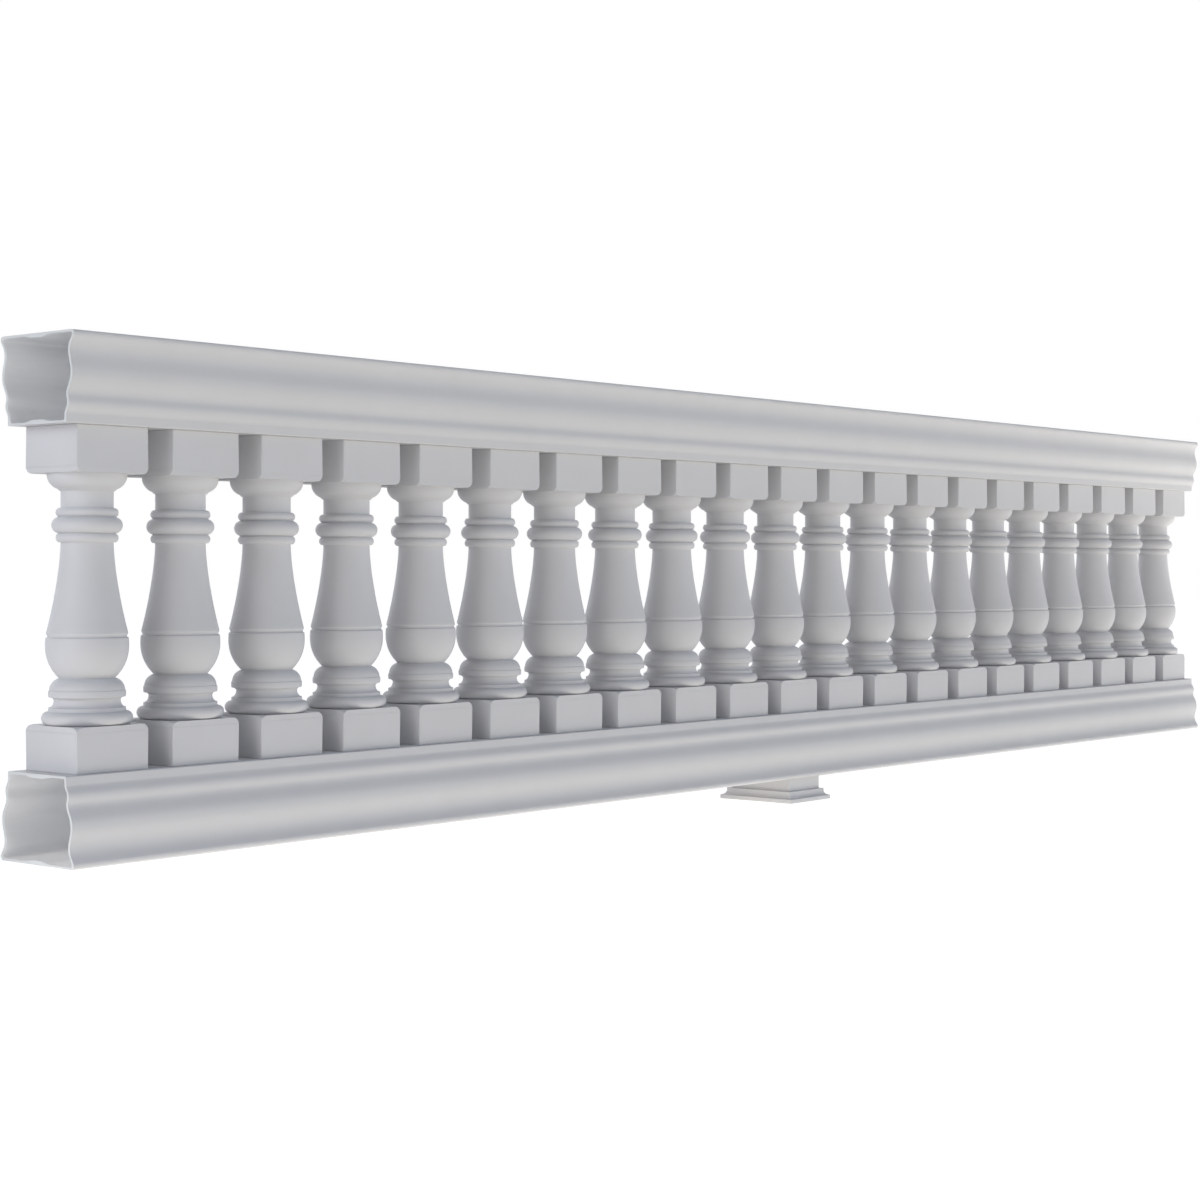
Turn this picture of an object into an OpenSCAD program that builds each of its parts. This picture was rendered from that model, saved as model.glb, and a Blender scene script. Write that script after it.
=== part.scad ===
// A fibreglass balustrade section: two hollow moulded rails, a row of turned
// balusters between them, and a square foot under the middle of the bottom rail.
// X runs along the rails, Y across them and Z up, in millimetres. The origin is
// the centre of the foot's underside.

/* [Section] */
// Length of both rails
rail_len = 3657.6; // [2900:0.1:6000]
// Number of balusters, spaced evenly along the rails
baluster_count = 21; // [5:1:26]
// How far both rails run on past the last balusters' half spaces
rail_run_on = 2; // [0:0.5:20]

/* [Rail moulding, level by level from the wide face to the narrow one] */
// Width of the lip at the wide face
lip_w = 182.6; // [150:0.1:240]
// Height of the lip
lip_h = 8; // [5.6:0.1:15]
// Radius of the lip's rounded edge
lip_r = 5.5; // [2:0.1:7.9]
// Width in the hollow of the upper cove
upper_cove_w = 163.8; // [130:0.1:220]
// Distance from the lip to the upper cove
upper_cove_drop = 22; // [15:0.5:50]
// Width across the belly of the rail
belly_w = 175.8; // [140:0.1:230]
// Distance from the upper cove to the belly
belly_drop = 30; // [15:0.5:60]
// Width in the hollow of the lower cove
lower_cove_w = 154.6; // [130:0.1:220]
// Distance from the belly to the lower cove
lower_cove_drop = 33.5; // [15:0.5:60]
// Width across the small bead
bead_w = 159.4; // [130:0.1:220]
// Distance from the lower cove to the bead
bead_drop = 12; // [5:0.5:30]
// Width of the narrow face, where the balusters stand
band_w = 146; // [120:0.1:200]
// Distance from the bead to the plain band
band_drop = 17.5; // [8:0.5:30]
// Height of the plain band beside the narrow face
band_h = 12.4; // [8:0.1:40]
// Radius of the band's corner
band_r = 2; // [0.5:0.1:5]

/* [Rail walls] */
// Thickness of the moulded side walls
side_wall = 4.6; // [3:0.1:10]
// Thickness of the two flat walls
flat_wall = 3.6; // [3:0.1:9]
// Extra thickness down the middle of each flat wall
rib_t = 3.2; // [1:0.1:10]
// Width of that thickening at its root
rib_w = 64; // [40:1:110]
// Width of its level top
rib_top_w = 23; // [10:1:35]
// Radius in the corners inside the rail
inner_r = 3; // [1:0.1:6]

/* [Baluster plinths] */
// Height of a baluster, from rail to rail
baluster_h = 518; // [430:1:900]
// Side of the square plinths
plinth_w = 128; // [120:0.5:155]
// Height of the bottom plinth
bottom_plinth_h = 69; // [40:0.5:120]
// Height of the top plinth
top_plinth_h = 70.5; // [40:0.5:120]
// Radius of the plinths' upright edges
plinth_edge_r = 2; // [0.5:0.1:10]
// Height of the turned shoulder that rounds off each plinth's corners
shoulder_h = 11; // [2:0.5:20]
// How far that shoulder cuts in from the corners at the rim
shoulder_in = 8.5; // [2:0.5:24]

/* [Baluster turning, from the bottom plinth up] */
// Largest radius of the base torus
base_torus_r = 67.3; // [66.8:0.1:69]
// How far its round side swells out
base_torus_out = 10; // [4:0.1:10.5]
// Height of the base torus
base_torus_h = 20; // [10:0.1:35]
// Radius of the fillet on the base torus
base_fillet_r = 56.8; // [50:0.1:57.3]
// Height of that fillet
base_fillet_h = 5.8; // [2:0.1:10]
// Smallest radius of the scotia
scotia_r = 49; // [44:0.1:54]
// Height of the scotia
scotia_h = 15.7; // [12:0.1:30]
// Height of the scotia's long lower sweep
scotia_sweep_h = 10.6; // [6:0.1:14]
// Largest radius of the ring over the scotia
ring_r = 57; // [56.2:0.1:66]
// How far the ring's edges are rounded in
ring_round = 0.5; // [0.3:0.1:1.4]
// Height of the ring
ring_h = 10; // [6:0.1:20]
// Radius of the cushion where it springs from the ring
cushion_r = 55.5; // [50:0.1:56]
// Height of the cushion
cushion_h = 18.5; // [14.6:0.1:30]
// Radius of the waist under the bulb
waist_r = 41.2; // [37.5:0.1:48]
// Largest radius of the bulb
bulb_r = 61.5; // [61:0.1:72]
// Height from the waist to the bulb's widest point
bulb_rise = 48; // [35:0.5:65]
// Height from there to the bulb's rim
bulb_top = 12.5; // [6:0.5:25]
// Radius of the bulb's rim
bulb_rim_r = 60.9; // [58.5:0.1:61.3]
// Radius at the bottom of the groove over the bulb
groove_r = 57.8; // [50:0.1:58.4]
// Height from the bulb's rim to the bottom of the groove
groove_h = 2; // [1:0.1:6]
// Height of the flare from the groove out to the vase
flare_h = 5; // [1:0.1:12]
// Radius at the foot of the vase
vase_r = 60.2; // [58.5:0.1:70]
// Radius of the neck over and under the beads
neck_r = 38.8; // [32:0.1:41]
// Height of each small bead
small_bead_h = 13.4; // [9:0.1:20]
// Largest radius of the small beads
small_bead_r = 46; // [43:0.1:48]
// Height of the large bead between them
large_bead_h = 24.8; // [21:0.1:35]
// Largest radius of the large bead
large_bead_r = 52.2; // [47:0.1:54]
// Radius in the nips between the beads
nip_r = 42; // [40:0.1:45]
// Height of the neck
neck_h = 25.7; // [10:0.5:60]
// Radius of the fillet under the echinus, at its top
neck_fillet_r = 43.8; // [40.7:0.1:48]
// Radius of that fillet at its foot
neck_fillet_foot_r = 40.6; // [39:0.1:43.7]
// Height of that fillet
neck_fillet_h = 3.2; // [2:0.1:10]
// Largest radius of the echinus under the top plinth
echinus_r = 59; // [52:0.1:63]
// Height of the echinus
echinus_h = 23; // [17:0.1:40]

/* [Foot] */
// Height of the foot
foot_h = 50.8; // [30:0.1:200]
// Length of the foot's block along the rail
foot_len = 107; // [60:1:200]
// Width of the foot's block across the rail
foot_w = 152.4; // [80:0.1:180]
// Height of the trim round the foot
trim_h = 23; // [18.5:0.5:50]
// How far the trim's base stands out from the block
trim_out = 17.2; // [10:0.1:30]
// Height of the trim's base band
trim_base_h = 8.6; // [3:0.1:13]
// How far the trim's top band stands out from the block
trim_top_out = 7.2; // [3:0.1:9]
// Height of the trim's top band
trim_top_h = 5; // [4:0.1:12]
// Radius of the trim's edges
trim_edge_r = 1; // [0.3:0.1:1.5]

/* [Hidden] */
rail_colour = "whitesmoke";
baluster_colour = "gainsboro";
foot_colour = "lightgray";
pitch = (rail_len - 2 * rail_run_on) / baluster_count;
// Depths of the rail's levels from its wide face
upper_cove_at = lip_h + upper_cove_drop;
belly_at = upper_cove_at + belly_drop;
lower_cove_at = belly_at + lower_cove_drop;
bead_at = lower_cove_at + bead_drop;
band_at = bead_at + band_drop;
rail_h = band_at + band_h;
// Depth and half width of each level, and how far the curve that leads to it is
// held back: 1 is an even S curve, and less bends it sooner
RAIL_LEVELS = [
    [lip_h, lip_w / 2, 1],
    [upper_cove_at, upper_cove_w / 2, 0.62],
    [belly_at, belly_w / 2, 1],
    [lower_cove_at, lower_cove_w / 2, 1.35],
    [bead_at, bead_w / 2, 1],
    [band_at, band_w / 2, 1.15]
];
rail_steps = 8;
arc_steps = 6;
vase_steps = 10;
// Heights of the assembly's levels over the floor
bottom_rail_top = foot_h + rail_h;
baluster_top = bottom_rail_top + baluster_h;
total_h = baluster_top + rail_h;
// How far the turning runs into the plinths, so that they are one solid
sunk = 2;
// Heights of the turning's levels over the foot of a baluster
base_fillet_at = bottom_plinth_h + base_torus_h;
scotia_at = base_fillet_at + base_fillet_h;
ring_at = scotia_at + scotia_h;
cushion_at = ring_at + ring_h;
waist_at = cushion_at + cushion_h;
bulb_at = waist_at + bulb_rise;
bulb_rim_at = bulb_at + bulb_top;
groove_at = bulb_rim_at + groove_h;
vase_at = groove_at + flare_h;
top_plinth_at = baluster_h - top_plinth_h;
echinus_at = top_plinth_at - echinus_h;
neck_fillet_at = echinus_at - neck_fillet_h;
neck_at = neck_fillet_at - neck_h;
upper_bead_at = neck_at - small_bead_h;
large_bead_at = upper_bead_at - large_bead_h;
lower_bead_at = large_bead_at - small_bead_h;
// How steeply the vase narrows: 1 is a straight cone
vase_curve = 1.6;

function baluster_name(i) = str("baluster_", i < 10 ? "0" : "", i);

// Share of an S curve climbed at share s of its run
function ease(s) = (1 - cos(180 * s)) / 2;

function arc(centre, rx, ry, from, to, steps = arc_steps) =
    [for (i = [0:steps]) let (a = from + (to - from) * i / steps)
        centre + [rx * cos(a), ry * sin(a)]];

function reversed(list) = [for (i = [len(list) - 1:-1:0]) list[i]];

function without_repeats(points) = [for (i = [0:len(points) - 1])
    if (i == 0 || norm(points[i] - points[max(i - 1, 0)]) > 0.001) points[i]];

function mirrored(points) = [for (p = reversed(points)) [-p.x, p.y]];

// Points down the rail's side as [half width, depth], drawn in by inset
function rail_side(inset) = [
    for (i = [1:len(RAIL_LEVELS) - 1]) for (j = [i == 1 ? 0 : 1:rail_steps])
        let (from = RAIL_LEVELS[i - 1], to = RAIL_LEVELS[i], s = j / rail_steps)
        [from[1] + (to[1] - from[1]) * ease(pow(s, to[2])) - inset,
         from[0] + (to[0] - from[0]) * s]];

// Half of the outside of the rail, from the wide face to the narrow one
function rail_outer_half() = concat(
    arc([lip_w / 2 - lip_r, lip_r], lip_r, lip_r, -90, 0),
    rail_side(0),
    arc([band_w / 2 - band_r, rail_h - band_r], band_r, band_r, 0, 90));

// One side of the thickening on a flat wall as [y, thickness], outer end first
function rib_half() = [for (i = [0:rail_steps]) let (s = i / rail_steps)
    [rib_w / 2 - (rib_w - rib_top_w) / 2 * s, flat_wall + rib_t * ease(s)]];

function rib_half_from_top(points) = [for (p = points) [p.x, rail_h - p.y]];

// Half of the inside of the rail: rib, corner, side wall, corner, rib
function rail_inner_half() =
    let (wide = lip_w / 2 - side_wall, narrow = band_w / 2 - side_wall)
    concat(
        reversed(rib_half()),
        arc([wide - inner_r, flat_wall + inner_r], inner_r, inner_r, -90, 0),
        [for (p = rail_side(side_wall)) if (p.y > flat_wall + inner_r) p],
        arc([narrow - inner_r, rail_h - flat_wall - inner_r],
            inner_r, inner_r, 0, 90),
        rib_half_from_top(rib_half()));

// A hollow rail along X, with its wide face down at z = 0
module rail() {
    outer = rail_outer_half();
    inner = rail_inner_half();
    translate([-rail_len / 2, 0, 0]) rotate([90, 0, 90])
        linear_extrude(height = rail_len) difference() {
            polygon(concat(outer, mirrored(outer)));
            polygon(concat(inner, mirrored(inner)));
        }
}

// A square plinth on z = 0, with a turned shoulder round its top
module plinth(height) {
    half = plinth_w / 2;
    reach = half * sqrt(2);
    corner = arc([half - plinth_edge_r, half - plinth_edge_r],
                 plinth_edge_r, plinth_edge_r, 0, 90, 4);
    plan_half = concat([for (p = reversed(corner)) [p.x, -p.y]], corner);
    shoulder = arc([reach - shoulder_in, height - shoulder_h],
                   shoulder_in, shoulder_h, 0, 90);
    intersection() {
        linear_extrude(height = height)
            polygon(concat(plan_half, mirrored(plan_half)));
        rotate_extrude($fn = 96)
            polygon(concat([[0, height], [0, 0], [reach, 0]], shoulder));
    }
}

// The arc from the widest point of a swelling, where it stands upright, to its end
function swell(widest, end) =
    let (rise = widest.x - end.x, run = end.y - widest.y,
         r = (run * run + rise * rise) / (2 * rise), reach = asin(run / r))
    [for (i = [1:arc_steps]) let (a = reach * i / arc_steps)
        [widest.x - r + r * cos(a), widest.y + r * sin(a)]];

// A swelling from start, out to its widest point and in to its end
function bulge(start, widest, end) =
    concat(reversed(swell(widest, start)), [widest], swell(widest, end));

// The hollow of the scotia, from its lower edge to its upper one
function scotia(low, high) =
    let (middle = low.y + scotia_sweep_h)
    concat(arc([low.x, middle], low.x - scotia_r, middle - low.y, 270, 180),
           arc([high.x, middle], high.x - scotia_r, high.y - middle, 180, 90));

function bead(z, h, peak) =
    bulge([nip_r, z], [peak, z + h / 2], [nip_r, z + h]);

function vase_radius(s) = neck_r + (vase_r - neck_r) * pow(1 - s, vase_curve);

// The turning's outline as [radius, height], from the bottom plinth up
function turning() = concat(
    [[base_torus_r - base_torus_out, bottom_plinth_h - sunk]],
    arc([base_torus_r - base_torus_out, bottom_plinth_h + base_torus_h / 2],
        base_torus_out, base_torus_h / 2, -90, 90, 2 * arc_steps),
    [[base_fillet_r, base_fillet_at]],
    scotia([base_fillet_r, scotia_at], [ring_r - ring_round, ring_at]),
    bulge([ring_r - ring_round, ring_at], [ring_r, ring_at + ring_h / 2],
          [ring_r - ring_round, cushion_at]),
    [[cushion_r, cushion_at]],
    swell([cushion_r, cushion_at], [waist_r, waist_at]),
    bulge([waist_r, waist_at], [bulb_r, bulb_at], [bulb_rim_r, bulb_rim_at]),
    [[groove_r, groove_at]],
    [for (i = [0:vase_steps - 1]) let (s = i / vase_steps)
        [vase_radius(s), vase_at + (lower_bead_at - vase_at) * s]],
    [[neck_r, lower_bead_at]],
    bead(lower_bead_at, small_bead_h, small_bead_r),
    bead(large_bead_at, large_bead_h, large_bead_r),
    bead(upper_bead_at, small_bead_h, small_bead_r),
    [[neck_r, neck_at], [neck_r, neck_fillet_at],
     [neck_fillet_foot_r, neck_fillet_at]],
    reversed(swell([echinus_r, top_plinth_at - 1], [neck_fillet_r, echinus_at])),
    [[echinus_r, top_plinth_at + sunk]]);

module baluster() {
    outline = without_repeats(turning());
    plinth(bottom_plinth_h);
    translate([0, 0, baluster_h]) mirror([0, 0, 1]) plinth(top_plinth_h);
    rotate_extrude($fn = 96) polygon(concat(
        [[0, outline[0].y]], outline, [[0, outline[len(outline) - 1].y]]));
}

// One edge of the trim's section as [distance out from the block, height]
function trim_side() = concat(
    [[0, 0]],
    arc([trim_out - trim_edge_r, trim_edge_r], trim_edge_r, trim_edge_r, -90, 0, 3),
    arc([trim_out - trim_edge_r, trim_base_h - trim_edge_r],
        trim_edge_r, trim_edge_r, 0, 90, 3),
    arc([trim_out - trim_edge_r, trim_h - trim_top_h],
        trim_out - trim_edge_r - trim_top_out, trim_h - trim_top_h - trim_base_h,
        270, 180),
    arc([trim_top_out - trim_edge_r, trim_h - trim_edge_r],
        trim_edge_r, trim_edge_r, 0, 90, 3),
    [[0, trim_h]]);

// The trim's section across a block of the given width, as one outline
function trim_outline(width) =
    let (half = [for (p = trim_side()) [p.x + width / 2, p.y]])
    concat(half, mirrored(half));

module top_rail() {
    color(rail_colour) translate([0, 0, total_h]) mirror([0, 0, 1]) rail();
}

module bottom_rail() {
    color(rail_colour) translate([0, 0, foot_h]) rail();
}

module placed_baluster(i) {
    color(baluster_colour)
        translate([(i - (baluster_count + 1) / 2) * pitch, 0, bottom_rail_top])
        baluster();
}

module foot_block() {
    color(foot_colour) translate([-foot_len / 2, -foot_w / 2, 0])
        cube([foot_len, foot_w, foot_h]);
}

// The moulding round the block's foot, mitred at its four corners
module foot_trim() {
    reach = foot_len + foot_w;
    color(foot_colour) difference() {
        intersection() {
            rotate([90, 0, 0]) translate([0, 0, -reach])
                linear_extrude(height = 2 * reach) polygon(trim_outline(foot_len));
            rotate([90, 0, 90]) translate([0, 0, -reach])
                linear_extrude(height = 2 * reach) polygon(trim_outline(foot_w));
        }
        translate([-foot_len / 2, -foot_w / 2, -1]) cube([foot_len, foot_w, trim_h + 2]);
    }
}

top_rail();
bottom_rail();
for (i = [1:baluster_count])
    placed_baluster(i);
foot_block();
foot_trim();
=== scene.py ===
import math

import bmesh
import bpy
from bpy.props import FloatProperty, FloatVectorProperty, IntProperty, PointerProperty
from mathutils import Matrix, Vector


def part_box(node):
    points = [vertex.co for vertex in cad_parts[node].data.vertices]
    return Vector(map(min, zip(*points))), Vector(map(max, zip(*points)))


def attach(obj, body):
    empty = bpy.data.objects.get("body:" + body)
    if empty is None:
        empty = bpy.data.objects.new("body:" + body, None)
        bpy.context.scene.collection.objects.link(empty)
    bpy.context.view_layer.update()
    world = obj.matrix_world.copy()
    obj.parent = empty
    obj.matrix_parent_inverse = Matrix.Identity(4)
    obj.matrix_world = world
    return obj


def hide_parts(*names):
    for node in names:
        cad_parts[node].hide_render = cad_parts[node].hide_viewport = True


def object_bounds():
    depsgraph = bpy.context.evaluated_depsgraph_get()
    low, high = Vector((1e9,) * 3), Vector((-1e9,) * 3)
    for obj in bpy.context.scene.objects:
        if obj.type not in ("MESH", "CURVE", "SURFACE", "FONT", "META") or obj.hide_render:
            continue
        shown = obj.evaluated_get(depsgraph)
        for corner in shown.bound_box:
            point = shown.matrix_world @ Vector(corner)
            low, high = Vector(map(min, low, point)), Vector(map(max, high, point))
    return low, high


bl_info = {
    "name": "Fibreglass Balustrade",
    "version": (1, 0, 0),
    "blender": (4, 5, 0),
    "location": "View3D > Sidebar > Balustrade",
    "description": "Moulded rails, turned balusters and a trimmed foot, finished in satin primer",
    "category": "Object",
}

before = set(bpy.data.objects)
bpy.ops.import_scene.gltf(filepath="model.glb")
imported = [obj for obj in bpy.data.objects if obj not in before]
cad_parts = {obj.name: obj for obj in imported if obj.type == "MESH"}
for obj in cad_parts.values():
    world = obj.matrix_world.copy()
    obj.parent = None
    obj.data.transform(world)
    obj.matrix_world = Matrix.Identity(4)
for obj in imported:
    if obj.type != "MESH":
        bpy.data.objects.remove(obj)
CAD_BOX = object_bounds()

BODY = "root"
PRIMED_SLOT = "primed_fiberglass"
FOOT_SLOT = "primed_foot"
BALUSTER_NODES = sorted(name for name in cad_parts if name.startswith("baluster_"))

# Points closer than this are one point
MERGE = 1e-6
# Edges that turn by more than this stay crisp under smooth shading
CRISP_ANGLE = math.radians(32)
# Corners of an outline that turn by more than this get a small radius
CORNER_ANGLE = math.radians(25)
# A flat face has an extra edge this far inside a rounded one, which keeps its shading flat
FLAT_MARGIN = 0.0005
# How far the turning runs into the plinths
SUNK = 0.002


def size_of(node):
    """Length, width and height of a CAD node."""
    low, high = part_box(node)
    return high - low


RAIL_SIZE = size_of("bottom_rail")
BALUSTER_SIZE = size_of(BALUSTER_NODES[0])
BLOCK_SIZE = size_of("foot_block")
TRIM_SIZE = size_of("foot_trim")


def linear(hex_colour):
    """The linear red, green and blue of an sRGB hex colour."""
    channels = [int(hex_colour[i:i + 2], 16) / 255 for i in (0, 2, 4)]
    return tuple(c / 12.92 if c <= 0.04045 else ((c + 0.055) / 1.055) ** 2.4 for c in channels)


def length(name, description, default):
    """A length in metres that the sidebar shows."""
    return FloatProperty(name=name, description=description, default=default,
                         min=0, precision=4, subtype="DISTANCE", unit="LENGTH")


def colour(name, description, default):
    """A colour that the sidebar shows, given as sRGB hex."""
    return FloatVectorProperty(name=name, description=description, default=linear(default),
                               min=0, max=1, size=3, subtype="COLOR")


def level(name, description, default):
    """A strength or a share without a unit."""
    return FloatProperty(name=name, description=description, default=default, min=0)


class RailSizes(bpy.types.PropertyGroup):
    """Section of the hollow rails, from the wide face to the narrow one"""
    lip_w: length("Lip width", "Across the lip at the wide face", RAIL_SIZE.y)
    lip_h: length("Lip height", "Height of the lip", 0.008)
    lip_r: length("Lip radius", "Radius of the lip's rounded edge", 0.0055)
    upper_cove_w: length("Upper cove width", "Across the hollow of the upper cove", 0.1638)
    upper_cove_drop: length("Upper cove drop", "From the lip to the upper cove", 0.022)
    belly_w: length("Belly width", "Across the belly", 0.1758)
    belly_drop: length("Belly drop", "From the upper cove to the belly", 0.030)
    lower_cove_w: length("Lower cove width", "Across the hollow of the lower cove", 0.1546)
    lower_cove_drop: length("Lower cove drop", "From the belly to the lower cove", 0.0335)
    bead_w: length("Bead width", "Across the small bead", 0.1594)
    bead_drop: length("Bead drop", "From the lower cove to the bead", 0.012)
    band_w: length("Band width", "Across the narrow face", 0.146)
    band_drop: length("Band drop", "From the bead to the plain band", 0.0175)
    band_r: length("Band radius", "Radius of the band's corner", 0.002)
    side_wall: length("Side wall", "Thickness of the moulded sides", 0.0046)
    flat_wall: length("Flat wall", "Thickness of the two flat walls", 0.0036)
    rib_t: length("Rib thickness", "Extra thickness down the middle of a flat wall", 0.0032)
    rib_w: length("Rib width", "Width of the rib at its root", 0.064)
    rib_top_w: length("Rib top width", "Width of the rib's level top", 0.023)
    inner_r: length("Inner radius", "Radius in the corners inside the rail", 0.003)
    arris: length("Cut arris", "Chamfer left by sanding the sawn ends", 0.0004)


class BalusterSizes(bpy.types.PropertyGroup):
    """Square plinths and the turning between them"""
    plinth_w: length("Plinth width", "Side of the square plinths", 0.128)
    bottom_plinth_h: length("Bottom plinth", "Height of the bottom plinth", 0.069)
    top_plinth_h: length("Top plinth", "Height of the top plinth", 0.0705)
    plinth_edge_r: length("Plinth edge", "Radius of the upright edges", 0.002)
    plinth_end_r: length("Plinth end edge", "Radius of the edges against the rails", 0.0012)
    shoulder_h: length("Shoulder height", "Height of the turned shoulder", 0.011)
    shoulder_in: length("Shoulder depth", "How far the shoulder cuts in at the rim", 0.0085)
    base_torus_r: length("Torus", "Largest radius of the base torus", BALUSTER_SIZE.x / 2)
    base_torus_out: length("Torus swell", "How far the torus's round side swells out", 0.010)
    base_torus_h: length("Torus height", "Height of the base torus", 0.020)
    base_fillet_r: length("Base fillet", "Radius of the fillet on the torus", 0.0568)
    base_fillet_h: length("Base fillet height", "Height of that fillet", 0.0058)
    scotia_r: length("Scotia", "Smallest radius of the scotia", 0.049)
    scotia_h: length("Scotia height", "Height of the scotia", 0.0157)
    scotia_sweep_h: length("Scotia sweep", "Height of the scotia's long lower sweep", 0.0106)
    ring_r: length("Ring", "Largest radius of the ring over the scotia", 0.057)
    ring_round: length("Ring rounding", "How far the ring's edges are rounded in", 0.0005)
    ring_h: length("Ring height", "Height of the ring", 0.010)
    cushion_r: length("Cushion", "Radius where the cushion springs from the ring", 0.0555)
    cushion_h: length("Cushion height", "Height of the cushion", 0.0185)
    waist_r: length("Waist", "Radius of the waist under the bulb", 0.0412)
    bulb_r: length("Bulb", "Largest radius of the bulb", 0.0615)
    bulb_rise: length("Bulb rise", "From the waist to the bulb's widest point", 0.048)
    bulb_top: length("Bulb top", "From there to the bulb's rim", 0.0125)
    bulb_rim_r: length("Bulb rim", "Radius of the bulb's rim", 0.0609)
    groove_r: length("Groove", "Radius at the bottom of the groove", 0.0578)
    groove_h: length("Groove height", "From the bulb's rim to the groove's bottom", 0.002)
    flare_h: length("Flare height", "From the groove's bottom to the vase", 0.005)
    vase_r: length("Vase", "Radius at the foot of the vase", 0.0602)
    neck_r: length("Neck", "Radius of the neck over and under the beads", 0.0388)
    small_bead_h: length("Small bead height", "Height of each small bead", 0.0134)
    small_bead_r: length("Small bead", "Largest radius of the small beads", 0.046)
    large_bead_h: length("Large bead height", "Height of the large bead", 0.0248)
    large_bead_r: length("Large bead", "Largest radius of the large bead", 0.0522)
    nip_r: length("Nip", "Radius in the nips between the beads", 0.042)
    neck_h: length("Neck height", "Height of the neck", 0.0257)
    neck_fillet_r: length("Neck fillet", "Radius of the fillet under the echinus", 0.0438)
    neck_fillet_foot_r: length("Neck fillet foot", "Radius of that fillet at its foot", 0.0406)
    neck_fillet_h: length("Neck fillet height", "Height of that fillet", 0.0032)
    echinus_r: length("Echinus", "Largest radius of the echinus", 0.059)
    echinus_h: length("Echinus height", "Height of the echinus", 0.023)
    corner_r: length("Corner radius", "Radius on the turning's crisp corners", 0.0005)
    turns: IntProperty(name="Steps round", description="Faces round the turning",
                       default=80, min=16, max=128)


class FootSizes(bpy.types.PropertyGroup):
    """Block under the bottom rail and the moulding round it"""
    block_edge_r: length("Block edge", "Radius of the block's edges", 0.001)
    trim_base_h: length("Trim base", "Height of the trim's base band", 0.0086)
    trim_top_out: length("Trim top", "How far the top band stands out", 0.0072)
    trim_top_h: length("Trim top height", "Height of the trim's top band", 0.005)
    trim_edge_r: length("Trim edge", "Radius of the trim's edges", 0.001)


class Finishes(bpy.types.PropertyGroup):
    """Colours of the primed, laminated and sawn surfaces"""
    primer: colour("Primer", "Satin off-white primer", "d1d1d3")
    primer_thin: colour("Thin primer", "Where the sprayed coat is thinner", "cccccd")
    # Both laminate colours are near white: partly the bare laminate's own pale tone, partly painted
    # light that lifts the shaded hollows inside the rails
    laminate: colour("Laminate", "Unpainted back of the moulding", "f1f1f1")
    laminate_strand: colour("Laminate strand", "Glass strands under its resin", "e9eaeb")
    light_reach: length("Light reach", "How far light goes through the bare laminate", 0.012)
    sawn: colour("Sawn edge", "Sawn glass and resin on the cut ends", "dbdddd")
    sawn_layer: colour("Sawn layer", "Resin layers on the cut ends", "d1d3d3")


class StageLevels(bpy.types.PropertyGroup):
    """Plain white stage with broad, soft lights and a floor that glows, sending light up"""
    end_tint: colour("End tint", "Tint of the end light and the back light", "f4f6fc")
    front_low: colour("Low front tint", "Tint of the front light where it comes in level", "ebdfb4")
    front_high: colour("High front tint", "Tint of the front light higher up", "aeccff")
    end_level: level("End light", "Strength of the light beyond the left end", 2.95)
    lamp_power: level("End lamp", "Watts of the lamp near the left end", 4.5)
    lamp_tint: colour("End lamp tint", "Tint of that lamp", "e2ebff")
    front_level: level("Front light", "Strength of the low light ahead of the right end", 4)
    back_level: level("Back light", "Strength of the light behind the right end", 3.2)
    light_spread: level("Light spread", "How sharply the lights fall off from their middles", 9)
    floor_glow: colour("Floor glow", "Tint of the light that the floor sends up", "fffaf2")
    near_glow: level("Near glow", "Strength of that light just ahead of the section", 1.1)
    far_glow: level("Far glow", "Strength of it from two metres out", 1.36)
    right_glow: level("Right glow", "Strength of it beyond the right end", 1.35)
    floor_shade: level("Floor shade", "How much of the room's light the floor shows", 0.4)


def arc(centre, across, up, start, end, steps=8):
    """Points along part of an ellipse, with its angles in degrees."""
    points = []
    for i in range(steps + 1):
        angle = math.radians(start + (end - start) * i / steps)
        points.append((centre[0] + across * math.cos(angle), centre[1] + up * math.sin(angle)))
    return points


def ease(share):
    """Share of an S curve climbed at a share of its run."""
    return (1 - math.cos(math.pi * share)) / 2


def swell(widest, end, steps=10):
    """Arc from the widest point of a swelling, where it stands upright, to its end."""
    rise, run = widest[0] - end[0], end[1] - widest[1]
    radius = (run * run + rise * rise) / (2 * rise)
    reach = math.degrees(math.asin(run / radius))
    return arc((widest[0] - radius, widest[1]), radius, radius, 0, reach, steps)[1:]


def bulge(start, widest, end, steps=10):
    """Swelling from its start, out to its widest point and in to its end."""
    return swell(widest, start, steps)[::-1] + [widest] + swell(widest, end, steps)


def chain(bm, points):
    """Adds points joined by edges, and returns the vertices."""
    verts = [bm.verts.new(point) for point in points]
    for pair in zip(verts, verts[1:]):
        bm.edges.new(pair)
    bmesh.ops.remove_doubles(bm, verts=verts, dist=MERGE)
    return [vert for vert in verts if vert.is_valid]


def round_corners(bm, verts, radius):
    """Rounds the corners of a chain of edges where it turns sharply."""
    corners = []
    for before, vert, after in zip(verts, verts[1:], verts[2:]):
        turn = (vert.co - before.co).angle(after.co - vert.co)
        if turn > CORNER_ANGLE:
            corners.append(vert)
    bmesh.ops.bevel(bm, geom=corners, offset=radius, segments=3, profile=0.5,
                    affect="VERTICES", material=-1, clamp_overlap=True)


def spin(bm, steps):
    """Turns the whole of bm round the Z axis and closes it."""
    bmesh.ops.spin(bm, geom=bm.verts[:] + bm.edges[:], cent=(0, 0, 0), axis=(0, 0, 1),
                   angle=math.tau, steps=steps, use_merge=True)
    bmesh.ops.remove_doubles(bm, verts=bm.verts, dist=MERGE)


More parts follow.
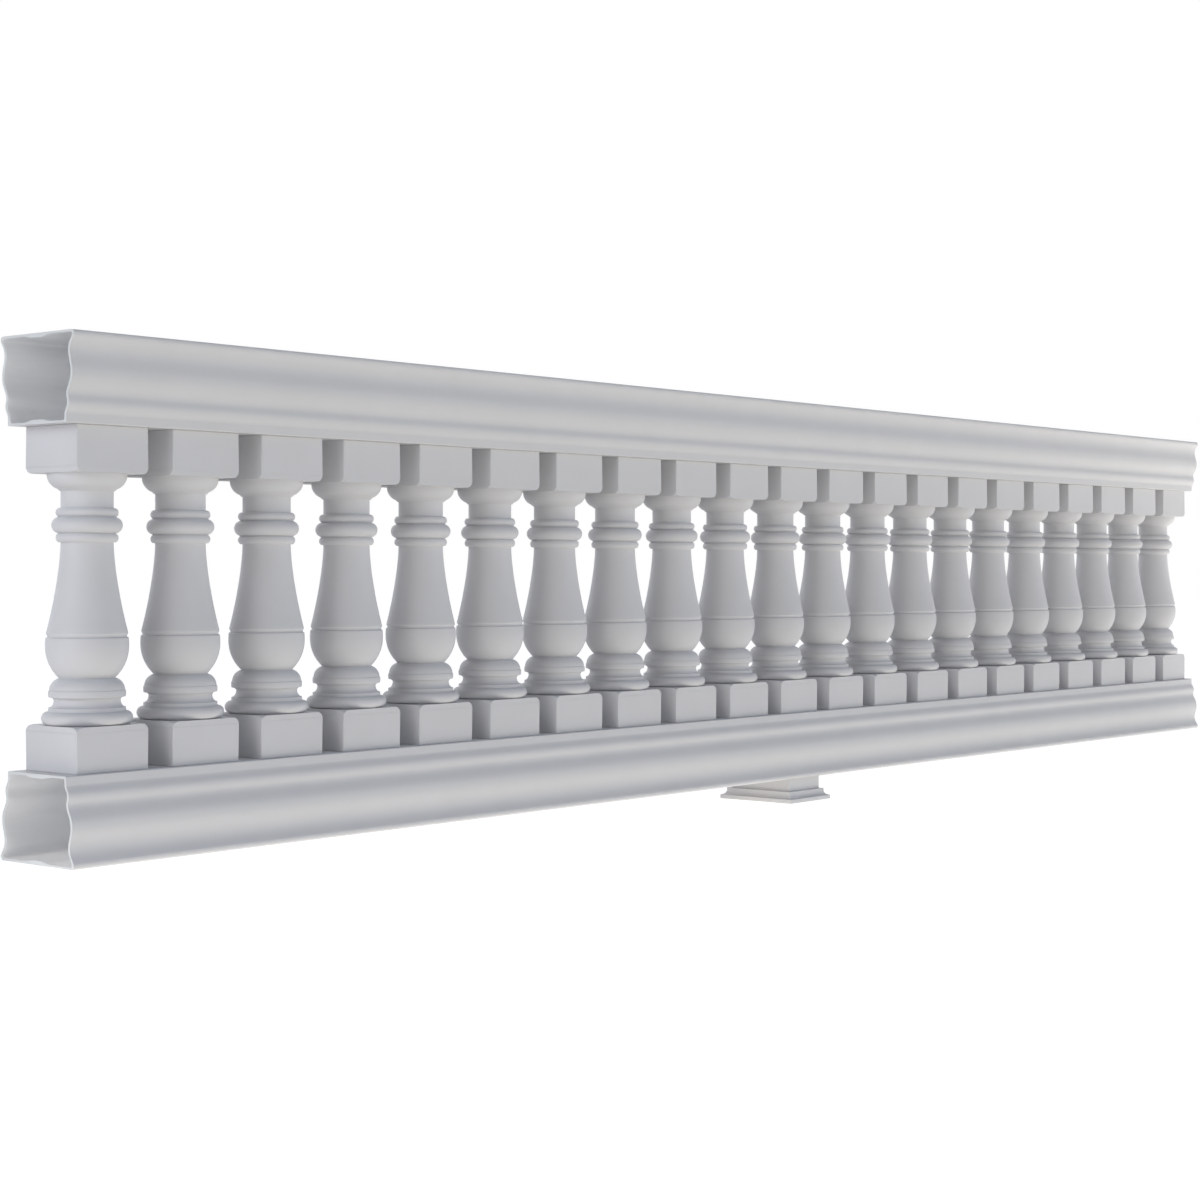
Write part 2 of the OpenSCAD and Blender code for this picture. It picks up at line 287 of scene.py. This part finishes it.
def keep_flat(bm, least_area):
    """Adds an edge just inside the rim of each large flat face."""
    flat = [face for face in bm.faces if face.calc_area() > least_area]
    bmesh.ops.inset_individual(bm, faces=flat, thickness=FLAT_MARGIN, use_even_offset=True)


def closed_mesh(name, bm):
    """Turns bm's faces outwards and makes it a mesh with crisp corners."""
    bmesh.ops.recalc_face_normals(bm, faces=bm.faces)
    open_edges = sum(not edge.is_manifold for edge in bm.edges)
    if open_edges:
        raise RuntimeError(f"{name} has {open_edges} open edges")
    mesh = bpy.data.meshes.new(name)
    bm.to_mesh(mesh)
    bm.free()
    mesh.shade_smooth()
    mesh.set_sharp_from_angle(angle=CRISP_ANGLE)
    return mesh


def place(mesh, node, slot, *materials):
    """Puts a finished mesh in the scene, in the place of its CAD node."""
    for material in materials:
        mesh.materials.append(material)
    piece = bpy.data.objects.new(mesh.name, mesh)
    bpy.context.scene.collection.objects.link(piece)
    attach(piece, BODY)
    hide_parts(node)


def rail_side(s, inset, steps=16):
    """Points down the side of a rail as (half width, depth), drawn in by inset."""
    # Depth, half width, and how far the curve that leads there is held back
    levels = [(s.lip_h, s.lip_w / 2, 1)]
    for drop, width, held in ((s.upper_cove_drop, s.upper_cove_w, 0.62),
                              (s.belly_drop, s.belly_w, 1),
                              (s.lower_cove_drop, s.lower_cove_w, 1.35),
                              (s.bead_drop, s.bead_w, 1),
                              (s.band_drop, s.band_w, 1.15)):
        levels.append((levels[-1][0] + drop, width / 2, held))
    points = [(s.lip_w / 2 - inset, s.lip_h)]
    for (depth, half, _), (next_depth, next_half, held) in zip(levels, levels[1:]):
        for i in range(1, steps + 1):
            share = i / steps
            points.append((half + (next_half - half) * ease(share ** held) - inset,
                           depth + (next_depth - depth) * share))
    return points


def rail_outside(s, height):
    """Half of a rail's outside, from the middle of the wide face to that of the narrow one."""
    lip, band = s.lip_w / 2 - s.lip_r, s.band_w / 2 - s.band_r
    return ([(0, 0), (lip - FLAT_MARGIN, 0)] + arc((lip, s.lip_r), s.lip_r, s.lip_r, -90, 0)
            + rail_side(s, 0) + arc((band, height - s.band_r), s.band_r, s.band_r, 0, 90)
            + [(band - FLAT_MARGIN, height), (0, height)])


def rib(s, steps=8):
    """One side of the rib on a flat wall as (half width, thickness), from its middle out."""
    top, root = s.rib_top_w / 2, s.rib_w / 2
    return [(0, s.flat_wall + s.rib_t)] + [
        (top + (root - top) * i / steps, s.flat_wall + s.rib_t * (1 - ease(i / steps)))
        for i in range(steps + 1)]


def rail_inside(s, height):
    """Half of a rail's inside: rib, corner, side wall, corner and rib."""
    wide, narrow = s.lip_w / 2 - s.side_wall - s.inner_r, s.band_w / 2 - s.side_wall - s.inner_r
    corner = s.flat_wall + s.inner_r
    side = [point for point in rail_side(s, s.side_wall) if point[1] > corner]
    return (rib(s) + arc((wide, corner), s.inner_r, s.inner_r, -90, 0) + side
            + arc((narrow, height - corner), s.inner_r, s.inner_r, 0, 90)
            + [(half, height - thickness) for half, thickness in reversed(rib(s))])


# Order of the materials on a rail
OUTSIDE, INSIDE, SAWN = range(3)


def rail_mesh(name, s, node, upside_down):
    """A hollow rail along X, sawn square at both ends. Its wide face is down, unless the rail is
    upside down."""
    low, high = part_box(node)
    height = high.z - low.z
    wide_face, inward = (high.z, -1) if upside_down else (low.z, 1)
    start = low.x + s.arris
    bm = bmesh.new()
    for outline in (rail_outside(s, height), rail_inside(s, height)):
        chain(bm, [(start, half, wide_face + inward * depth) for half, depth in outline])
    bmesh.ops.mirror(bm, geom=bm.verts[:] + bm.edges[:], merge_dist=MERGE, axis="Y")
    bmesh.ops.triangle_fill(bm, use_beauty=True, edges=bm.edges[:], normal=(1, 0, 0))
    ends = bm.faces[:]
    pulled = bmesh.ops.extrude_face_region(bm, geom=ends, use_keep_orig=True)["geom"]
    far_end = [item for item in pulled if isinstance(item, bmesh.types.BMFace)]
    moved = [item for item in pulled if isinstance(item, bmesh.types.BMVert)]
    bmesh.ops.translate(bm, verts=moved, vec=(high.x - low.x - 2 * s.arris, 0, 0))
    bmesh.ops.recalc_face_normals(bm, faces=bm.faces)
    middle = Vector((0, 0, (low.z + high.z) / 2))
    for face in bm.faces:
        centre = face.calc_center_median()
        outward = Vector((0, centre.y, centre.z)) - middle
        face.material_index = INSIDE if face.normal.dot(outward) < 0 else OUTSIDE
    for end in (ends, far_end):
        for face in end:
            face.material_index = SAWN
        bmesh.ops.inset_region(bm, faces=end, thickness=s.arris, depth=s.arris,
                               use_boundary=True, use_even_offset=True)
    return closed_mesh(name, bm)


def plinth(s, height, turns):
    """A square plinth on z = 0: a turned disc with a shouldered rim, cut square."""
    half = s.plinth_w / 2
    reach = half * math.sqrt(2)
    blank_r = reach * 1.05
    shoulder_at = height - s.shoulder_h
    bm = bmesh.new()
    chain(bm, [(r, 0, z) for r, z in [(0, 0), (blank_r, 0), (blank_r, shoulder_at)]
               + arc((reach - s.shoulder_in, shoulder_at), s.shoulder_in, s.shoulder_h, 0, 90)
               + [(0, height)]])
    spin(bm, turns)
    for quarter in range(4):
        side = Matrix.Rotation(math.tau * quarter / 4, 3, "Z") @ Vector((1, 0, 0))
        cut = bmesh.ops.bisect_plane(bm, geom=bm.verts[:] + bm.edges[:] + bm.faces[:], dist=MERGE,
                                     plane_co=side * half, plane_no=side, clear_outer=True)
        rim = [item for item in cut["geom_cut"] if isinstance(item, bmesh.types.BMEdge)]
        bmesh.ops.edgeloop_fill(bm, edges=rim)
    bmesh.ops.remove_doubles(bm, verts=bm.verts, dist=s.plinth_edge_r / 20)
    upright = [edge for edge in bm.edges
               if abs(edge.verts[0].co.z - edge.verts[1].co.z) > height / 2]
    bmesh.ops.bevel(bm, geom=upright, offset=s.plinth_edge_r, segments=4, profile=0.5,
                    affect="EDGES", material=-1)
    bmesh.ops.recalc_face_normals(bm, faces=bm.faces)
    level_rim = [edge for edge in bm.edges
                 if edge.verts[0].co.z < MERGE and edge.verts[1].co.z < MERGE
                 and edge.calc_face_angle() > CRISP_ANGLE]
    bmesh.ops.bevel(bm, geom=level_rim, offset=s.plinth_end_r, segments=3, profile=0.5,
                    affect="EDGES", material=-1)
    keep_flat(bm, s.plinth_w * height / 2)
    return bm


def vase(s, start, end, steps=24):
    """Side of the vase, steep at its neck and flaring at its foot."""
    flare = 1.6
    points = []
    for i in range(steps):
        share = i / steps
        points.append((s.neck_r + (s.vase_r - s.neck_r) * (1 - share) ** flare,
                       start + (end - start) * share))
    return points + [(s.neck_r, end)]


def bead(s, low, height, peak):
    """A round bead between two nips."""
    return bulge((s.nip_r, low), (peak, low + height / 2), (s.nip_r, low + height), 8)


def scotia(s, low, high):
    """Hollow of the scotia, from its lower edge to its upper one."""
    middle = low[1] + s.scotia_sweep_h
    return (arc((low[0], middle), low[0] - s.scotia_r, middle - low[1], 270, 180)
            + arc((high[0], middle), high[0] - s.scotia_r, high[1] - middle, 180, 90))


def turning_outline(s, height):
    """Outline of the turning as (radius, height), from inside one plinth to inside the other."""
    # Height of the upright rim over the echinus
    rim_h = 0.001
    torus = s.bottom_plinth_h
    fillet = torus + s.base_torus_h
    hollow = fillet + s.base_fillet_h
    ring = hollow + s.scotia_h
    cushion = ring + s.ring_h
    waist = cushion + s.cushion_h
    bulb = waist + s.bulb_rise
    rim = bulb + s.bulb_top
    groove = rim + s.groove_h
    vase_foot = groove + s.flare_h
    top = height - s.top_plinth_h
    echinus = top - s.echinus_h
    neck_fillet = echinus - s.neck_fillet_h
    neck = neck_fillet - s.neck_h
    upper_bead = neck - s.small_bead_h
    large_bead = upper_bead - s.large_bead_h
    lower_bead = large_bead - s.small_bead_h
    torus_r = s.base_torus_r - s.base_torus_out
    ring_edge_r = s.ring_r - s.ring_round
    return (
        [(0, torus - SUNK), (torus_r, torus - SUNK)]
        + arc((torus_r, torus + s.base_torus_h / 2), s.base_torus_out, s.base_torus_h / 2,
              -90, 90, 20)
        + [(s.base_fillet_r, fillet)]
        + scotia(s, (s.base_fillet_r, hollow), (ring_edge_r, ring))
        + bulge((ring_edge_r, ring), (s.ring_r, ring + s.ring_h / 2), (ring_edge_r, cushion), 4)
        + [(s.cushion_r, cushion)]
        + swell((s.cushion_r, cushion), (s.waist_r, waist))
        + bulge((s.waist_r, waist), (s.bulb_r, bulb), (s.bulb_rim_r, rim), 14)
        + [(s.groove_r, groove)]
        + vase(s, vase_foot, lower_bead)
        + bead(s, lower_bead, s.small_bead_h, s.small_bead_r)
        + bead(s, large_bead, s.large_bead_h, s.large_bead_r)
        + bead(s, upper_bead, s.small_bead_h, s.small_bead_r)
        + [(s.neck_r, neck), (s.neck_r, neck_fillet), (s.neck_fillet_foot_r, neck_fillet)]
        + swell((s.echinus_r, top - rim_h), (s.neck_fillet_r, echinus))[::-1]
        + [(s.echinus_r, top - rim_h), (s.echinus_r, top + SUNK), (0, top + SUNK)])


def baluster_mesh(s, height):
    """A whole baluster standing on z = 0: two plinths and the turning between them."""
    turning = bmesh.new()
    outline = chain(turning, [(r, 0, z) for r, z in turning_outline(s, height)])
    round_corners(turning, outline, s.corner_r)
    spin(turning, s.turns)
    parts = [(turning, Matrix()),
             (plinth(s, s.bottom_plinth_h, s.turns), Matrix()),
             (plinth(s, s.top_plinth_h, s.turns),
              Matrix.Translation((0, 0, height)) @ Matrix.Scale(-1, 4, (0, 0, 1)))]
    whole = bmesh.new()
    for part, position in parts:
        bmesh.ops.transform(part, matrix=position, verts=part.verts)
        scratch = bpy.data.meshes.new("scratch")
        part.to_mesh(scratch)
        part.free()
        whole.from_mesh(scratch)
        bpy.data.meshes.remove(scratch)
    return closed_mesh("baluster", whole)


def foot_block_mesh(s):
    """The foot's block, with slightly eased edges."""
    low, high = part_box("foot_block")
    bm = bmesh.new()
    size = high - low
    bmesh.ops.create_cube(bm, size=1, matrix=Matrix.Translation((low + high) / 2)
                          @ Matrix.Diagonal((*size, 1)))
    bmesh.ops.bevel(bm, geom=bm.edges[:], offset=s.block_edge_r, segments=3, profile=0.5,
                    affect="EDGES", material=-1)
    keep_flat(bm, size.x * size.z / 2)
    return closed_mesh("foot_block_primed", bm)


def foot_trim_mesh(s):
    """The moulding round the foot's block, mitred at its corners."""
    out = (TRIM_SIZE.x - BLOCK_SIZE.x) / 2
    height = TRIM_SIZE.z
    half = BLOCK_SIZE.x / 2
    cove_top = height - s.trim_top_h
    outline = ([(0, 0), (out, 0), (out, s.trim_base_h)]
               + arc((out, cove_top), out - s.trim_top_out, cove_top - s.trim_base_h, 270, 180, 10)
               + [(s.trim_top_out, height), (0, height)])
    bm = bmesh.new()
    section = chain(bm, [(half + d, half + d, z) for d, z in outline])
    bm.edges.new((section[-1], section[0]))
    round_corners(bm, section, s.trim_edge_r)
    spin(bm, 4)
    stretch = (BLOCK_SIZE.y - BLOCK_SIZE.x) / 2
    for vert in bm.verts:
        vert.co.y += math.copysign(stretch, vert.co.y)
    return closed_mesh("foot_trim_moulding", bm)


def add(tree, kind, inputs=None, **settings):
    """Adds a node with its settings. An input is a value, or the socket that it is linked from."""
    node = tree.nodes.new(kind)
    for key, value in settings.items():
        setattr(node, key, value)
    for key, value in (inputs or {}).items():
        if isinstance(value, bpy.types.NodeSocket):
            tree.links.new(value, node.inputs[key])
        else:
            node.inputs[key].default_value = value
    return node


def new_material(name):
    """An empty material, with its node tree and the coordinates that patterns read."""
    material = bpy.data.materials.new(name)
    material.use_nodes = True
    tree = material.node_tree
    tree.nodes.clear()
    return material, tree, add(tree, "ShaderNodeTexCoord").outputs["Object"]


def blend_colours(tree, factor, first, second):
    """The colour socket of a mix between two colours."""
    mix = add(tree, "ShaderNodeMix", data_type="RGBA")
    tree.links.new(factor, mix.inputs["Factor"])
    mix.inputs[6].default_value = (*first, 1)
    mix.inputs[7].default_value = (*second, 1)
    return mix.outputs[2]


def primed_gelcoat(name):
    """Moulded polyester gelcoat sprayed with a satin acrylic primer. The mould gives it long, soft
    waves, the spray a fine orange peel and a coat that is a shade darker where it is thin."""
    colours = bpy.context.scene.balustrade_finishes
    material, tree, where = new_material(name)
    # Patches of thinner primer, about 90 mm across
    patches = add(tree, "ShaderNodeTexNoise", {"Vector": where, "Scale": 1 / 0.09, "Detail": 3})
    # Waves left by the mould, about 120 mm long and 0.05 mm deep
    waves = add(tree, "ShaderNodeTexNoise", {"Vector": where, "Scale": 1 / 0.12, "Detail": 0})
    # Orange peel: 2 mm on the real coat, drawn at 4 mm so that it shows
    peel = add(tree, "ShaderNodeTexNoise", {"Vector": where, "Scale": 1 / 0.004, "Detail": 2})
    wavy = add(tree, "ShaderNodeBump", {"Strength": 1, "Distance": 0.00005,
                                        "Height": waves.outputs["Fac"]})
    peeled = add(tree, "ShaderNodeBump", {"Strength": 1, "Distance": 0.00002,
                                          "Height": peel.outputs["Fac"],
                                          "Normal": wavy.outputs["Normal"]})
    roughness = add(tree, "ShaderNodeMapRange", {"Value": patches.outputs["Fac"], "From Min": 0.3,
                                                 "From Max": 0.7, "To Min": 0.44, "To Max": 0.54})
    shader = add(tree, "ShaderNodeBsdfPrincipled", {
        "Base Color": blend_colours(tree, patches.outputs["Fac"], colours.primer,
                                    colours.primer_thin),
        "Roughness": roughness.outputs["Result"], "Normal": peeled.outputs["Normal"]})
    add(tree, "ShaderNodeOutputMaterial", {"Surface": shader.outputs["BSDF"]})
    return material


def bare_laminate(name):
    """Back of the hand-laid laminate: chopped glass strands under a skin of polyester resin, rolled
    down and left unpainted. The strands show as a low, random weave, and daylight glows through
    the thin wall."""
    colours = bpy.context.scene.balustrade_finishes
    material, tree, where = new_material(name)
    # Strands 40 mm long and 1.5 mm wide on the real mat, drawn 4 mm wide so that they show
    strand = (1 / 0.04, 1 / 0.004, 1 / 0.004)
    strands = []
    for turn in (25, -40, 80):
        layer = add(tree, "ShaderNodeMapping", {"Vector": where, "Scale": strand,
                                                "Rotation": (0, math.radians(turn), 0)})
        noise = add(tree, "ShaderNodeTexNoise", {"Vector": layer.outputs["Vector"], "Scale": 1,
                                                 "Detail": 1})
        strands.append(noise.outputs["Fac"])
    crossed = add(tree, "ShaderNodeMath", {0: strands[0], 1: strands[1]}, operation="MAXIMUM")
    mat = add(tree, "ShaderNodeMath", {0: crossed.outputs["Value"], 1: strands[2]},
              operation="MAXIMUM")
    relief = add(tree, "ShaderNodeBump", {"Strength": 1, "Distance": 0.0002,
                                          "Height": mat.outputs["Value"]})
    # The laminate's near-white colour is partly its own pale tone and partly painted light that
    # lifts the shaded hollows inside the rails
    shader = add(tree, "ShaderNodeBsdfPrincipled", {
        "Base Color": blend_colours(tree, mat.outputs["Value"], colours.laminate,
                                    colours.laminate_strand),
        "Subsurface Weight": 1, "Subsurface Radius": (1, 1, 1),
        "Subsurface Scale": colours.light_reach,
        "Roughness": 0.55, "Normal": relief.outputs["Normal"]})
    add(tree, "ShaderNodeOutputMaterial", {"Surface": shader.outputs["BSDF"]})
    return material


def sawn_laminate(name):
    """Edge of the laminate where the rail was sawn to length: dry glass and resin in thin layers,
    pale and dull, with the saw's fine upright scratches."""
    colours = bpy.context.scene.balustrade_finishes
    material, tree, where = new_material(name)
    # Layers of glass, 1 mm thick
    layers = add(tree, "ShaderNodeTexNoise", {"Vector": where, "Scale": 1 / 0.001, "Detail": 2})
    # Saw scratches 20 mm long and 1 mm apart
    along = add(tree, "ShaderNodeMapping", {"Vector": where,
                                            "Scale": (1 / 0.001, 1 / 0.001, 1 / 0.02)})
    scratches = add(tree, "ShaderNodeTexNoise", {"Vector": along.outputs["Vector"], "Scale": 1,
                                                 "Detail": 1})
    relief = add(tree, "ShaderNodeBump", {"Strength": 1, "Distance": 0.00005,
                                          "Height": scratches.outputs["Fac"]})
    shader = add(tree, "ShaderNodeBsdfPrincipled", {
        "Base Color": blend_colours(tree, layers.outputs["Fac"], colours.sawn, colours.sawn_layer),
        "Roughness": 0.8, "Normal": relief.outputs["Normal"]})
    add(tree, "ShaderNodeOutputMaterial", {"Surface": shader.outputs["BSDF"]})
    return material


def seen_directly(tree):
    """A socket that is 1 for rays from the camera, and in glossy reflections and glass."""
    path = add(tree, "ShaderNodeLightPath")
    glossy = add(tree, "ShaderNodeMath", {0: path.outputs["Is Camera Ray"],
                                          1: path.outputs["Is Glossy Ray"]}, operation="MAXIMUM")
    return add(tree, "ShaderNodeMath", {0: glossy.outputs["Value"],
                                        1: path.outputs["Is Transmission Ray"]},
               operation="MAXIMUM").outputs["Value"]


def share(tree, value, start, end):
    """A socket that eases from 0 to 1 as a value goes from start to end."""
    return add(tree, "ShaderNodeMapRange", {"Value": value, "From Min": start, "From Max": end},
               interpolation_type="SMOOTHSTEP").outputs["Result"]


class BALUSTRADE_OT_stage(bpy.types.Operator):
    """Add the camera, the soft lights and the white floor"""
    bl_idname = "balustrade.stage"
    bl_label = "Stage"

    def execute(self, context):
        self.add_camera(context)
        self.add_lights(context)
        self.add_end_lamp(context)
        self.add_floor(context)
        context.scene.view_settings.view_transform = "Standard"
        return {"FINISHED"}

    def add_camera(self, context):
        """The camera stands beside the left end, at eye level with the middle of the section."""
        data = bpy.data.cameras.new("camera")
        data.sensor_width = 36
        data.lens = 65.64
        data.shift_x = -0.0881
        data.shift_y = -0.0260
        camera = bpy.data.objects.new("camera", data)
        camera.location = (-3.7457, -2.7949, 0.4900)
        # It is level, and looks along this direction
        ahead_x, ahead_y = 0.7821, 0.6232
        camera.rotation_euler = (math.pi / 2, 0, -math.atan2(ahead_x, ahead_y))
        context.scene.collection.objects.link(camera)
        context.scene.camera = camera

    def add_lights(self, context):
        """Three broad, far lights in a dark room: one beyond the left end, a lower one ahead of the
        right end, which is cooler higher up, and one behind that glows through the rails' walls."""
        s = context.scene.balustrade_stage
        world = bpy.data.worlds.new("soft_lights")
        world.use_nodes = True
        tree = world.node_tree
        tree.nodes.clear()
        direction = add(tree, "ShaderNodeTexCoord").outputs["Generated"]
        upward = add(tree, "ShaderNodeSeparateXYZ", {"Vector": direction}).outputs["Z"]
        # The front light reaches its high tint 21 degrees up
        height = add(tree, "ShaderNodeMapRange", {"Value": upward, "From Max": 0.36})
        front_tint = blend_colours(tree, height.outputs["Result"], s.front_low, s.front_high)
        end_tint = (*s.end_tint, 1)
        sky = None
        # Where each light's middle is, in degrees round from +X and up, with its strength and tint
        for turn, rise, strength, tint in ((180, 18, s.end_level, end_tint),
                                           (315, 3, s.front_level, front_tint),
                                           (75, 15, s.back_level, end_tint)):
            turn, rise = math.radians(turn), math.radians(rise)
            middle = (math.cos(turn) * math.cos(rise), math.sin(turn) * math.cos(rise),
                      math.sin(rise))
            near = add(tree, "ShaderNodeVectorMath", {0: direction, 1: middle},
                       operation="DOT_PRODUCT")
            lobe = add(tree, "ShaderNodeMath", {0: near.outputs["Value"], 1: s.light_spread},
                       operation="POWER", use_clamp=True)
            power = add(tree, "ShaderNodeMath", {0: lobe.outputs["Value"], 1: strength},
                        operation="MULTIPLY")
            light = add(tree, "ShaderNodeBackground", {
                "Color": tint, "Strength": power.outputs["Value"]}).outputs[0]
            sky = add(tree, "ShaderNodeAddShader", {0: sky, 1: light}).outputs[0] if sky else light
        white = add(tree, "ShaderNodeBackground", {"Color": (1, 1, 1, 1), "Strength": 1})
        shown = add(tree, "ShaderNodeMixShader", {0: seen_directly(tree), 1: sky,
                                                  2: white.outputs[0]})
        add(tree, "ShaderNodeOutputWorld", {"Surface": shown.outputs[0]})
        context.scene.world = world

    def add_end_lamp(self, context):
        """A soft lamp 1.4 m out from the left end, whose light falls off along the section."""
        s = context.scene.balustrade_stage
        data = bpy.data.lights.new("end_lamp", "AREA")
        data.shape = "DISK"
        # 1.2 m across
        data.size = 1.2
        data.energy = s.lamp_power
        data.color = s.lamp_tint
        lamp = bpy.data.objects.new("end_lamp", data)
        lamp.location = (-3.2, 0, 0.75)
        aim = Vector((CAD_BOX[0][0], 0, (CAD_BOX[0][2] + CAD_BOX[1][2]) / 2)) - lamp.location
        lamp.rotation_euler = aim.to_track_quat("-Z", "Y").to_euler()
        lamp.visible_camera = False
        context.scene.collection.objects.link(lamp)

    def add_floor(self, context):
        """A white floor that glows, sending light up from in front and from beyond the right end,
        and still shows the section's shadow."""
        s = context.scene.balustrade_stage
        material, tree, where = new_material("white_floor")
        # The floor sends light up from a near strip, a far field and a field on the right. Their
        # edges are in metres and soft.
        place_on = add(tree, "ShaderNodeSeparateXYZ", {"Vector": where}).outputs
        ahead = add(tree, "ShaderNodeMath", {0: share(tree, place_on["Y"], -1.0, -0.4),
                                             1: share(tree, place_on["Y"], 0.2, 0)},
                    operation="MULTIPLY")
        glow = 0
        for part, strength in ((ahead.outputs["Value"], s.near_glow),
                               (share(tree, place_on["Y"], -1.2, -2.4), s.far_glow),
                               (share(tree, place_on["X"], 1.8, 2.1), s.right_glow)):
            glow = add(tree, "ShaderNodeMath", {0: part, 1: strength, 2: glow},
                       operation="MULTIPLY_ADD").outputs["Value"]
        sent = add(tree, "ShaderNodeEmission", {"Color": (*s.floor_glow, 1), "Strength": glow})
        # A little under 1, since the room's light on the floor is added to it
        shown = add(tree, "ShaderNodeEmission", {"Color": (1, 1, 1, 1), "Strength": 0.88})
        light = add(tree, "ShaderNodeMixShader", {0: seen_directly(tree), 1: sent.outputs[0],
                                                  2: shown.outputs[0]})
        shade = add(tree, "ShaderNodeBsdfDiffuse", {"Color": (*[s.floor_shade] * 3, 1)})
        total = add(tree, "ShaderNodeAddShader", {0: light.outputs[0], 1: shade.outputs[0]})
        add(tree, "ShaderNodeOutputMaterial", {"Surface": total.outputs[0]})
        # 60 m square, and just under the foot so that the two don't share a plane
        half, level_z = 30, -0.0005
        bm = bmesh.new()
        bmesh.ops.create_grid(bm, x_segments=1, y_segments=1, size=half)
        bmesh.ops.translate(bm, verts=bm.verts, vec=(0, 0, level_z))
        mesh = bpy.data.meshes.new("floor")
        bm.to_mesh(mesh)
        bm.free()
        mesh.materials.append(material)
        floor = bpy.data.objects.new("floor", mesh)
        context.scene.collection.objects.link(floor)


class BALUSTRADE_OT_rails(bpy.types.Operator):
    """Mould the top and bottom rails and saw them to length"""
    bl_idname = "balustrade.rails"
    bl_label = "Rails"

    def execute(self, context):
        s = context.scene.balustrade_rail
        finishes = (primed_gelcoat("satin_primer_on_rails"), bare_laminate("bare_laminate"),
                    sawn_laminate("sawn_laminate"))
        for node, upside_down in (("top_rail", True), ("bottom_rail", False)):
            place(rail_mesh(f"{node}_moulding", s, node, upside_down), node, PRIMED_SLOT, *finishes)
        return {"FINISHED"}


class BALUSTRADE_OT_balusters(bpy.types.Operator):
    """Turn one baluster and stand a copy in each place"""
    bl_idname = "balustrade.balusters"
    bl_label = "Balusters"

    def execute(self, context):
        s = context.scene.balustrade_baluster
        pattern = baluster_mesh(s, BALUSTER_SIZE.z)
        finish = primed_gelcoat("satin_primer_on_balusters")
        for node in BALUSTER_NODES:
            low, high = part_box(node)
            mesh = pattern.copy()
            mesh.name = f"turned_{node}"
            mesh.transform(Matrix.Translation(((low.x + high.x) / 2, 0, low.z)))
            place(mesh, node, PRIMED_SLOT, finish)
        bpy.data.meshes.remove(pattern)
        return {"FINISHED"}


class BALUSTRADE_OT_foot(bpy.types.Operator):
    """Make the foot's block and the moulding round it"""
    bl_idname = "balustrade.foot"
    bl_label = "Foot"

    def execute(self, context):
        s = context.scene.balustrade_foot
        finish = primed_gelcoat("satin_primer_on_foot")
        place(foot_block_mesh(s), "foot_block", FOOT_SLOT, finish)
        place(foot_trim_mesh(s), "foot_trim", FOOT_SLOT, finish)
        return {"FINISHED"}


SETTINGS = {
    "balustrade_rail": RailSizes,
    "balustrade_baluster": BalusterSizes,
    "balustrade_foot": FootSizes,
    "balustrade_finishes": Finishes,
    "balustrade_stage": StageLevels,
}
OPERATORS = (BALUSTRADE_OT_stage, BALUSTRADE_OT_rails, BALUSTRADE_OT_balusters, BALUSTRADE_OT_foot)


class BALUSTRADE_PT_panel(bpy.types.Panel):
    """Sizes, finishes and making of the balustrade section"""
    bl_idname = "BALUSTRADE_PT_panel"
    bl_label = "Balustrade"
    bl_space_type = "VIEW_3D"
    bl_region_type = "UI"
    bl_category = "Balustrade"

    def draw(self, context):
        for operator in OPERATORS:
            self.layout.operator(operator.bl_idname)
        for name, group in SETTINGS.items():
            box = self.layout.box()
            box.label(text=group.__doc__)
            for key in group.__annotations__:
                box.prop(getattr(context.scene, name), key)


CLASSES = (*SETTINGS.values(), *OPERATORS, BALUSTRADE_PT_panel)


def register():
    for cls in CLASSES:
        bpy.utils.register_class(cls)
    for name, group in SETTINGS.items():
        setattr(bpy.types.Scene, name, PointerProperty(type=group))


def unregister():
    for name in SETTINGS:
        delattr(bpy.types.Scene, name)
    for cls in reversed(CLASSES):
        bpy.utils.unregister_class(cls)


def main():
    register()
    bpy.ops.balustrade.stage()
    bpy.ops.balustrade.rails()
    bpy.ops.balustrade.balusters()
    bpy.ops.balustrade.foot()


if __name__ == "__main__":
    main()
